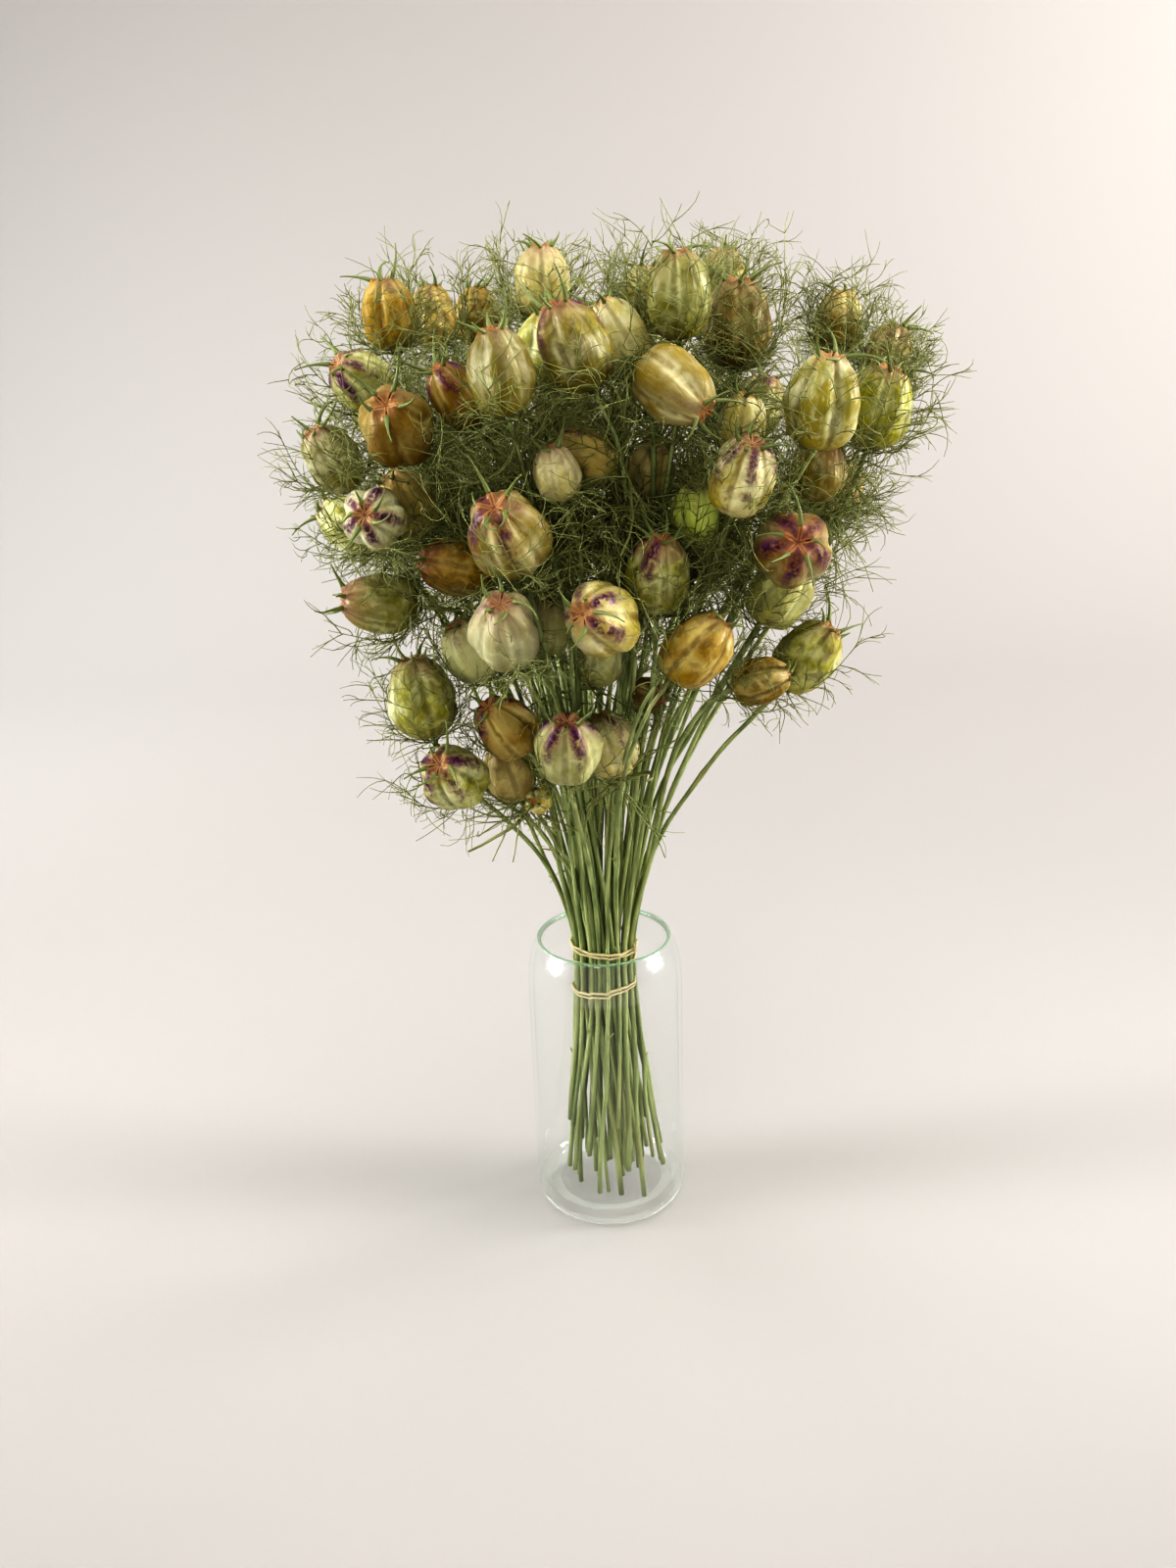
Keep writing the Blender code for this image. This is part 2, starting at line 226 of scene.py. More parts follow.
soft_box("overhead", (0.1, -0.25, 1.35), (0, 0, 0.3), (1.5, 1.0), 9, (1.0, 0.98, 0.95))
soft_box("left_strip", (-1.1, -0.12, 0.6), (0, 0, 0.42), (0.35, 0.8), 1.5, (0.96, 0.985, 1.0), 50)
soft_box("right_strip", (1.1, -0.12, 0.6), (0, 0, 0.42), (0.35, 0.8), 1.5, (1.0, 0.98, 0.96), 50)
soft_box("left_sparkle", (-1.0, -0.15, 0.75), (0, 0, 0.15), (0.34, 0.26), 2.0, (1.0, 1.0, 1.0))
soft_box("right_sparkle", (1.0, -0.15, 0.75), (0, 0, 0.15), (0.34, 0.26), 2.0, (1.0, 1.0, 1.0))
soft_box("wall_wash", (1.4, 0.7, 1.6), (1.25, 1.7, 0.8), (0.6, 0.4), 23, (1.0, 0.98, 0.95))
soft_box("wall_fill", (0.05, 0.6, 1.4), (0.05, 1.7, 0.7), (1.4, 0.3), 3.0, (1.0, 0.985, 0.96))
soft_box("left_wash", (-0.8, 0.75, 0.9), (-0.8, 1.0, 0), (0.9, 0.5), 5.2, (0.97, 0.99, 1.0))
soft_box("front", (-0.3, -2.3, 0.6), (0, 0, 0.3), (1.2, 0.6), 15, (1.0, 0.98, 0.95))
bpy.data.objects["front"].visible_glossy = False
world = bpy.data.worlds.new("white_room")
world.use_nodes = True
world.node_tree.nodes["Background"].inputs["Color"].default_value = (1.0, 0.975, 0.95, 1.0)
world.node_tree.nodes["Background"].inputs["Strength"].default_value = 0.30
bpy.context.scene.world = world
bpy.context.scene.view_settings.view_transform = "Standard"
bpy.context.scene.view_settings.look = "Very High Contrast"
bpy.context.scene.view_settings.exposure = -0.09

# ---------------------------------------------------------------- Reading the stalks
# Every stalk's solid is a run of rings of ten points, from its foot to the crown of its capsule. A
# forked stalk has a second run, from the fork to its own crown.
MM = 0.001
RING = 10
CAPSULE_RINGS = 5


def middle_of(ring):
    return sum((v.co for v in ring), Vector()) / len(ring)


def rings_from(ring):
    """The rings that follow one another from this one, for as long as the stalk is a plain tube."""
    seen, rings = set(ring), []
    while len(ring) == RING:
        rings.append(ring)
        beyond = dict.fromkeys(e.other_vert(v) for v in ring for e in v.link_edges)
        ring = [v for v in beyond if v not in seen]
        seen.update(ring)
    return rings


def crowns_from(foot):
    """The rings at the far ends of everything that grows from the foot."""
    level = dict.fromkeys(foot, 0)
    front = list(foot)
    while front:
        beyond = dict.fromkeys(e.other_vert(v) for v in front for e in v.link_edges)
        reached = [v for v in beyond if v not in level]
        level.update(dict.fromkeys(reached, level[front[0]] + 1))
        front = reached
    last = [v for v in level if all(level[e.other_vert(v)] <= level[v] for e in v.link_edges)]
    crowns = []
    while last:
        crown, front = [], [last[0]]
        while front:
            v = front.pop()
            if v in last:
                last.remove(v)
                crown.append(v)
                front.extend(e.other_vert(v) for e in v.link_edges)
        if len(crown) == RING:
            crowns.append(crown)
    return crowns


class Capsule:
    """One seed pod's place: its base, the way it points, its size and its first lobe."""

    def __init__(self, node, base, reach, radius, crest, finish, seed):
        self.node, self.finish, self.seed = node, finish, seed
        self.base, self.length, self.axis = base, reach.length, reach.normalized()
        self.radius = radius
        self.across = (crest - crest.project(self.axis)).normalized()
        self.side = self.axis.cross(self.across)

    def outward(self, around):
        return math.cos(around) * self.across + math.sin(around) * self.side

    def point(self, out, around, up):
        """A place by its distance from the axis, its turn from the first lobe and its height."""
        return self.base + up * self.axis + out * self.outward(around)


def capsule_from(node, rings, seed):
    """The capsule that the last rings of a stalk's solid stand for."""
    crown, base, centre = middle_of(rings[0]), middle_of(rings[CAPSULE_RINGS]), middle_of(rings[3])
    radius = max((v.co - centre).length for v in rings[3])
    crests = [v.co - centre for v in rings[3] if (v.co - centre).length > 0.9 * radius]
    first = min(crests, key=lambda way: way.y)
    return Capsule(node, base, (crown - base) / 1.12, radius, first, finish_of[node], seed)


finish_of = {part["node"]: part["material_slot"] for part in frame["record"]["subparts"]}
stalk_nodes = sorted(name for name in frame["nodes"] if name.startswith("stalk_"))
stems, capsules = [], []
for number, node in enumerate(stalk_nodes):
    solid = bmesh.new()
    solid.from_mesh(frame["nodes"][node].data)
    bmesh.ops.remove_doubles(solid, verts=solid.verts, dist=1e-6)
    foot = sorted(solid.verts, key=lambda v: v.co.z)[:RING]
    runs = sorted((rings_from(crown) for crown in crowns_from(foot)), key=len, reverse=True)
    stalk = [middle_of(ring) for ring in reversed(runs[0][CAPSULE_RINGS:])]
    thickness = max((v.co - middle_of(runs[0][-1])).length for v in runs[0][-1])
    if len(runs) > 1:
        lower = [middle_of(ring) for ring in rings_from(foot)]
        fork = (lower[-1] + stalk[0]) / 2
        shoot = [middle_of(ring) for ring in reversed(runs[1][CAPSULE_RINGS:])]
        stems.append((node, [fork, *shoot], 1.2 * MM))
        stalk = lower + stalk
    stems.append((node, stalk, thickness))
    for k, run in enumerate(runs):
        capsules.append(capsule_from(node, run, 100 * number + k))
    solid.free()

# ---------------------------------------------------------------- Stems
# Dried ribbed stalks, sage to olive green, a little crooked where a leaf sat, with the stubs of
# trimmed side twigs.
STEM_POINTS = 6
GREEN_STEM, PALE_STEM, DARK_STEM = range(3)
DARK_GAP_STALKS = 44


def smooth_path(points, between):
    """Points on a smooth curve through the given ones."""
    path = []
    ends = [2 * points[0] - points[1], *points, 2 * points[-1] - points[-2]]
    for before, here, there, after in zip(ends, ends[1:], ends[2:], ends[3:]):
        reach = (there - here).length
        leave = (there - before).normalized() * reach
        arrive = (after - here).normalized() * reach
        for k in range(between):
            s = k / between
            path.append(
                (2 * s**3 - 3 * s**2 + 1) * here
                + (s**3 - 2 * s**2 + s) * leave
                + (3 * s**2 - 2 * s**3) * there
                + (s**3 - s**2) * arrive
            )
    return [*path, points[-1]]


def section_curve(name, points, depth=0.0):
    """A tube's outline of unit radius, with every second point set in by the depth."""
    outline = bpy.data.curves.new(name, "CURVE")
    outline.dimensions = "2D"
    spline = outline.splines.new("POLY")
    spline.points.add(points - 1)
    spline.use_cyclic_u = True
    for k, point in enumerate(spline.points):
        reach, turn = 1.0 - depth * (k % 2), math.tau * k / points
        point.co = (reach * math.cos(turn), reach * math.sin(turn), 0, 1)
    section = bpy.data.objects.new(name, outline)
    bpy.context.scene.collection.objects.link(section)
    return section


def tube_piece(name, lines, finishes, section, cyclic=False):
    """Tubes along lines of (finish number, [(point, radius), ...]), as one mesh piece."""
    curve = bpy.data.curves.new(name, "CURVE")
    curve.dimensions = "3D"
    curve.use_fill_caps = not cyclic
    curve.bevel_mode, curve.bevel_object = "OBJECT", section
    for index, line in lines:
        spline = curve.splines.new("POLY")
        spline.points.add(len(line) - 1)
        spline.use_cyclic_u = cyclic
        spline.use_smooth = True
        spline.material_index = index
        spline.points.foreach_set("co", [c for point, _ in line for c in (*point, 1.0)])
        spline.points.foreach_set("radius", [radius for _, radius in line])
    for finish in finishes:
        curve.materials.append(finish.material)
    holder = bpy.data.objects.new(name, curve)
    bpy.context.scene.collection.objects.link(holder)
    mesh = bpy.data.meshes.new_from_object(holder.evaluated_get(bpy.context.evaluated_depsgraph_get()))
    bpy.data.objects.remove(holder)
    shape = bmesh.new()
    shape.from_mesh(mesh)
    bmesh.ops.remove_doubles(shape, verts=shape.verts, dist=0.002 * MM)
    bmesh.ops.recalc_face_normals(shape, faces=shape.faces)
    bpy.data.meshes.remove(mesh)
    return mesh_piece(name, shape, finishes)


def any_way(rng):
    return Vector((rng.gauss(0, 1), rng.gauss(0, 1), rng.gauss(0, 1)))


# the crookedness of the stems is the same in every run
noise.seed_set(3)
stem_lines = []
for node, points, radius in stems:
    rng = random.Random(node + str(len(points)))
    path = smooth_path(points, STEM_POINTS)
    bend = Vector((rng.random(), rng.random(), rng.random())) * 50
    joints = {rng.randrange(3, len(path) - 2) for _ in range(3)}
    line, width = [], radius * rng.uniform(0.62, 0.92)
    tint = rng.choices((GREEN_STEM, PALE_STEM, DARK_STEM), (4, 5, 1))[0]
    for k, point in enumerate(path):
        free = 1.0 if 0 < k < len(path) - 1 else 0.0
        loose = 1.2 + 1.4 * max(0.0, 1 - point.z / (125 * MM))
        wander = noise.noise_vector(point * 20 + bend) * loose * MM * free
        share = k / (len(path) - 1)
        swell = 0.16 if k in joints else 0.0
        if k in joints:
            wander += any_way(rng) * 0.3 * MM
            way = ((path[k + 1] - point).normalized() + any_way(rng) * 0.4).normalized()
            inward = point.x * way.x + point.y * way.y < 0
            stub = rng.uniform(3, 17 if inward and point.z < 0.11 else 5) * MM
            stem_lines.append((tint, [(point, 0.55 * MM), (point + way * (radius + stub), 0.3 * MM)]))
        taper = 1.0 - 0.22 * share + swell + 0.05 * math.sin(k * 1.7 + bend.x)
        line.append((point + wander, width * taper))
    stem_lines.append((tint, line[rng.choice((0, 0, 1, 2)) * (points[0].z < 0.02) :]))
leafy = [line for _, line in stem_lines if len(line) > 20]

# thin stalks in the dark stem finish stand inside the bundle between the others, painted shade for the dark
# gaps in it
for number in range(DARK_GAP_STALKS):
    rng = random.Random(900 + number)
    share, thick, shift = rng.uniform(0.45, 0.9), rng.uniform(0.7, 1.1) * MM, rng.uniform(-8, 8) * MM
    line = []
    for point, _ in rng.choice(leafy)[rng.randrange(2) :: 2]:
        if 0.15 < point.z < rng.uniform(0.30, 0.34):
            line.append((Vector((point.x * share, point.y * share, point.z + shift)), thick))
    stem_lines.append((DARK_STEM, line))

# two small pods that never filled, each on a short side twig
for place, way, radius, finish in (
    ((16, -43, 285), (0.85, -0.5, -0.25), 7.5, "dusky_stalk"),
    ((-26, -46, 236), (-0.2, -0.9, 0.3), 6.5, "straw_stalk"),
):
    base, reach = MM * Vector(place), 2.1 * MM * radius * Vector(way).normalized()
    below = [point for line in leafy for point, _ in line if point.z < base.z - 16 * MM]
    root = min(below, key=lambda point: (point - base).length)
    twig = (root, root.lerp(base, 0.6) + Vector((0, 0, 4 * MM)), base)
    stem_lines.append((PALE_STEM, [(point, 0.8 * MM) for point in twig]))
    crest, seed = Vector((0.2, -0.5, 1)), round(base.z * 1e5)
    capsules.append(Capsule("bud", base, reach, MM * radius, crest, finish, seed))


def stem_finish(name, dark, light):
    stem = Finish(name, roughness=0.55)
    place = stem.place()
    streaks = stem.noise(stem.stretched(place, (160, 160, 14)), 1.0, 2)
    patches = stem.noise(stem.stretched(place, (70, 70, 16)), 1.0, 3)
    green = stem.mix(streaks.between(0.25, 0.65, 0.25, 0.9), dark, light)
    green = stem.mix(patches.between(0.5, 0.72, 0, 0.5), green, stem.mix(0.5, dark, (0.46, 0.36, 0.18)))
    green = stem.mix(patches.between(0.25, 0.42, 0.5, 0), green, dark)
    stem.put(stem.shader, {"Base Color": green, "Roughness": streaks.between(0.3, 0.7, 0.42, 0.66)})
    stem.bump(streaks, 0.15 * MM)
    return stem


stem_finishes = [
    stem_finish("stem_green", (0.085, 0.125, 0.036), (0.37, 0.415, 0.195)),
    stem_finish("stem_pale", (0.18, 0.225, 0.095), (0.54, 0.575, 0.355)),
    stem_finish("stem_dark", (0.03, 0.05, 0.010), (0.15, 0.19, 0.055)),
]
ribbed = section_curve("ribbed", 10, 0.2)
stems_piece = tube_piece("stems", stem_lines, stem_finishes, ribbed)
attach(stems_piece, "root")
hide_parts(*stalk_nodes)

# ---------------------------------------------------------------- The bands
# Two thin tan elastic bands, each wound more than once, that pull the stems into a bundle: a strand
# runs straight from one outer stem to the next.
SIDES = 120


def across_at(height):
    """Where the stems pass a height: their middles and radii."""
    cut = []
    for _, line in stem_lines:
        for (low, thick), (high, _) in zip(line, line[1:]):
            if low.z <= height < high.z and thick > 1.1 * MM:
                cut.append((low.lerp(high, (height - low.z) / (high.z - low.z)), thick))
    return cut


def strand(height, tilt, toward, slack, thick):
    """A strand pulled tight round the stems at a height that rises by tilt towards an angle."""
    ring, hold = [], []
    heights = [
        height + tilt * math.cos(math.tau * k / SIDES - toward) + slack * math.sin(3 * math.tau * k / SIDES)
        for k in range(SIDES)
    ]
    for k in range(SIDES):
        way = Vector((math.cos(math.tau * k / SIDES), math.sin(math.tau * k / SIDES), 0))
        hold.append(max(middle.dot(way) + radius for middle, radius in across_at(heights[k])) + 0.8 * thick)
    for k in range(SIDES):
        turn = math.tau * k / SIDES
        slope = (hold[(k + 1) % SIDES] - hold[k - 1]) / (2 * math.tau / SIDES)
        x = hold[k] * math.cos(turn) - slope * math.sin(turn)
        y = hold[k] * math.sin(turn) + slope * math.cos(turn)
        ring.append((Vector((x, y, heights[k])), thick * (1 + 0.12 * math.sin(7 * turn + 900 * height))))
    return 0, ring


rubber = Finish("tan_band", roughness=0.55)
grain = rubber.noise(rubber.place(), 700, 3)
rubber.put(rubber.shader, {"Base Color": rubber.mix(grain, (0.46, 0.38, 0.19), (0.68, 0.62, 0.40))})
rubber.bump(grain, 0.15 * MM)
round_section = section_curve("round", 8)
for node, strands in (
    ("upper_band", ((2.2, 1.0, 2.6, 0.3, 0.65), (0.8, 1.3, 2.2, 0.5, 0.6), (-6.0, 1.2, -1.2, 0.4, 0.45))),
    ("lower_band", ((1.0, 2.2, 0.2, 0.5, 0.65), (-0.3, 2.6, 0.5, 0.3, 0.5))),
):
    low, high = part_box(node)
    middle = (low[2] + high[2]) / 2
    rings = []
    for up, tilt, toward, slack, thick in strands:
        rings.append(strand(middle + MM * up, MM * tilt, toward, MM * slack, MM * thick))
    band = tube_piece(node + "_strands", rings, [rubber], round_section, cyclic=True)
    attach(band, "root")
    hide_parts(node)


# ---------------------------------------------------------------- The vase
# Pressed clear glass: a straight tumbler with a rounded shoulder, a thick floor and a fire-polished
# rim, whose edge shows the glass's green.
VASE_PROFILE = (
    (0, 7), (15, 7), (26, 7), (29, 7.1), (31.5, 7.9), (33.7, 9.8), (35.3, 13), (36, 18), (36, 60),
    (36, 121.5), (35.8, 126), (35.2, 131.5), (34.3, 135.8), (33.2, 139.5), (31.9, 142.8), (31.1, 144.3),
    (30.9, 145.3),
    (31.1, 146), (31.6, 146.4), (32.2, 146.5), (32.8, 146.3), (33.2, 145.8), (33.3, 145.2), (34.2, 143.2),
    (35.6, 140), (36.7, 136), (37.4, 131.5), (37.85, 126), (38, 121.5), (38, 60), (38, 11), (37.6, 7.6),
    (36.8, 5), (35.9, 3.2), (34.5, 1.6), (32.6, 0.5), (30, 0), (15, 0), (0, 0),
)
tumbler = bmesh.new()
points = [tumbler.verts.new((MM * r, 0, MM * z)) for r, z in VASE_PROFILE]
outline = [tumbler.edges.new(pair) for pair in zip(points, points[1:])]
bmesh.ops.spin(
    tumbler, geom=points + outline, cent=(0, 0, 0), axis=(0, 0, 1), angle=math.tau, steps=96, use_merge=True
)
bmesh.ops.remove_doubles(tumbler, verts=tumbler.verts, dist=0.001 * MM)
bmesh.ops.recalc_face_normals(tumbler, faces=tumbler.faces)


def glass_finish(name, tint, skin, least, edge=1.0, **settings):
    """Thin glass: see-through face on, and more of its bright skin the more it is seen along."""
    glass = Finish(name, **settings)
    glass.put(glass.shader, {"Base Color": skin})
    facing = glass.node("ShaderNodeLayerWeight", {}, {"Blend": 0.5}, out="Facing")
    shine = facing.math("POWER", 5) * (edge - least) + least
    clear = glass.node("ShaderNodeBsdfTransparent", {}, {"Color": tint})
    body = Value(glass, glass.shader.outputs[0])
    glass.put(glass.output, {"Surface": glass.node("ShaderNodeMixShader", {}, (shine, clear, body))})
    return glass


CLEAR, RIM, FOOT, SHOULDER, FLOOR = range(5)
for face in tumbler.faces:
    middle = face.calc_center_median()
    out = math.hypot(middle.x, middle.y)
    outward = (face.normal.x * middle.x + face.normal.y * middle.y) / max(out, MM)
    on_rim = middle.z > 143.8 * MM and outward < 0.6
    on_floor = middle.z < 7.05 * MM and abs(face.normal.z) > 0.9
    on_foot = middle.z < 8 * MM
    on_shoulder = 126 * MM < middle.z and outward > 0.3
    face.material_index = (
        RIM if on_rim else FLOOR if on_floor else FOOT if on_foot else SHOULDER if on_shoulder else CLEAR
    )
bright = (0.95, 0.98, 0.96)
glass_finishes = [
    glass_finish("clear_glass", (0.997, 1.0, 0.998), bright, 0.033, roughness=0.03, Metallic=1.0),
    glass_finish("rim_glass", (0.86, 0.93, 0.87), (0.25, 0.40, 0.26), 0.5, roughness=0.12),
    # the foot's pale diffuse skin is painted light: it stands in for the bright ring that light makes in the
    # thick glass base
    glass_finish("foot_glass_painted_light", (0.99, 1.0, 0.992), (0.90, 0.94, 0.91), 0.15, roughness=0.25),
    glass_finish("shoulder_glass", (0.997, 1.0, 0.998), bright, 0.14, roughness=0.22, Metallic=1.0),
    glass_finish("floor_glass", (0.995, 1.0, 0.996), bright, 0.02, edge=0.15, roughness=0.1, Metallic=1.0),
]
vase = mesh_piece("vase_glass", tumbler, glass_finishes)
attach(vase, "root")
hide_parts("vase")

# ---------------------------------------------------------------- Capsules
# The inflated pods: five papery lobes with creases between them, drawn in at the top, where a star
# of ribs and five small mouths lie. Dry skin, satin, with fine veins and purple feathers.
AROUND, UP = 50, 25
FIFTH = math.tau / 5
# how much darker a capsule is than others of its kind, or how much paler below zero: partly how dark it
# dried, partly painted shade on capsules that catch too much light and painted light on those that sit in
# shadow
DRYING_AND_PAINTED_LIGHT = {
    "stalk_01": 0.1, "stalk_04": -0.25, "stalk_05": -0.1, "stalk_06": -0.3, "stalk_07": 0.6,
    "stalk_08": 0.45, "stalk_12": 0.3, "stalk_13": 0.6, "stalk_14": 0.6, "stalk_15": 0.65,
    "stalk_16": 0.1, "stalk_17": 0.6, "stalk_18": -0.2, "stalk_21": 0.15, "stalk_22": 0.2,
    "stalk_23": -0.2, "stalk_24": -0.5, "stalk_25": -0.35, "stalk_26": -0.6, "stalk_27": 0.55,
    "stalk_28": -0.45, "stalk_30": -0.7, "stalk_33": 0.1, "stalk_34": -0.3, "stalk_36": -0.3,
    "stalk_37": 0.1, "stalk_38": -0.3, "stalk_39": 0.15, "stalk_40": -0.6, "stalk_41": -0.3,
    "stalk_45": 0.35, "stalk_46": -0.25, "stalk_48": -0.4, "stalk_49": -0.35,
}


def capsule_skin(shape, capsule, layers):
    """Blows a sphere up into one capsule and marks its points for the skin's pattern."""
    rng = random.Random(capsule.seed)
    shift = Vector((rng.uniform(-9, 9), rng.uniform(-9, 9), rng.uniform(-9, 9)))
    flatter, depth = rng.uniform(-0.06, 0.06), rng.uniform(0.22, 0.34)
    stripes = [rng.uniform(0.5, 1.0) if rng.random() < 0.85 else 0.2 for _ in range(5)]
    if "striped" not in capsule.finish:
        stripes = [0.35 * s if rng.random() < 0.4 else 0.0 for s in stripes]
    split = [rng.random() < 0.4 for _ in range(5)]
    tone, tone_two = rng.random(), rng.random()
    body = 0.97 * capsule.length
    for v in bmesh.ops.create_uvsphere(shape, u_segments=AROUND, v_segments=UP, radius=1.0)["verts"]:
        x, y, z = v.co
        around, rise = math.atan2(y, x), math.asin(max(-1.0, min(1.0, z)))
        if rise > 0:
            rise = math.pi / 2 * (1 - (1 - rise / (math.pi / 2)) ** 1.25)
            z = math.sin(rise)
        crest = abs(math.cos(2.5 * around))
        off_crease = abs((around / FIFTH) % 1 - 0.5) * FIFTH
        mouth = int(around // FIFTH) % 5
        top = max(0.0, z)
        out = math.cos(rise) ** 0.75 * (1 - 0.07 * z)
        out *= 1 - (1 - crest**0.7) * (depth * (0.65 + 0.35 * z) + 0.14 * top**3)
        up = 0.5 + 0.5 * z
        crown = math.exp(-(((out - 0.38) / 0.13) ** 2)) * (z > 0.5)
        gap = out * off_crease
        up += crown * 0.09 * math.exp(-((gap / 0.09) ** 2))
        up -= crown * (0.10 if split[mouth] else 0.03) * math.exp(-((gap / 0.022) ** 2))
        up -= 0.05 * math.exp(-((out / 0.17) ** 2)) * (z > 0)
        local = Vector((x, y, 1.3 * z))
        out *= 1 + 0.09 * noise.noise(1.2 * local + shift) + 0.05 * noise.noise(2.8 * local - shift)
        out *= 1 + flatter * math.cos(2 * around + shift.x)
        stripe = stripes[round(around / FIFTH) % 5]
        v[layers["skin"]] = Vector((math.sin(2.5 * around), 0.5 + rise / math.pi, stripe))
        v[layers["crown"]] = Vector((gap, out if z > 0 else 1.0, float(split[mouth])))
        v[layers["grown"]] = local + shift
        # its third part is the capsule's listed darkness: partly how dark it dried, partly painted shade,
        # and painted light below zero
        v[layers["tone"]] = Vector((tone, tone_two, DRYING_AND_PAINTED_LIGHT.get(capsule.node, 0.0)))
        v.co = capsule.point(capsule.radius * out, around, body * up)


# each kind's own colour; its pale papery tint, also laid on as painted highlight; and its dark patches, also
# laid in the creases as painted shade
PALETTES = {
    "silver": ((0.26, 0.22, 0.028), (0.62, 0.62, 0.42), (0.10, 0.075, 0.008)),
    "straw": ((0.38, 0.31, 0.045), (0.66, 0.63, 0.40), (0.15, 0.095, 0.008)),
    "amber": ((0.32, 0.195, 0.006), (0.55, 0.46, 0.18), (0.10, 0.05, 0.001)),
    "olive": ((0.29, 0.275, 0.013), (0.62, 0.62, 0.36), (0.10, 0.09, 0.005)),
    # the lime capsule's colours are set far brighter than the rest: painted light, for light shining through
    # its skin where it sits in shadow
    "lime": ((0.58, 0.68, 0.01), (0.80, 0.88, 0.28), (0.24, 0.29, 0.004)),
    "dusky": ((0.19, 0.12, 0.006), (0.50, 0.43, 0.20), (0.04, 0.022, 0.003)),
}


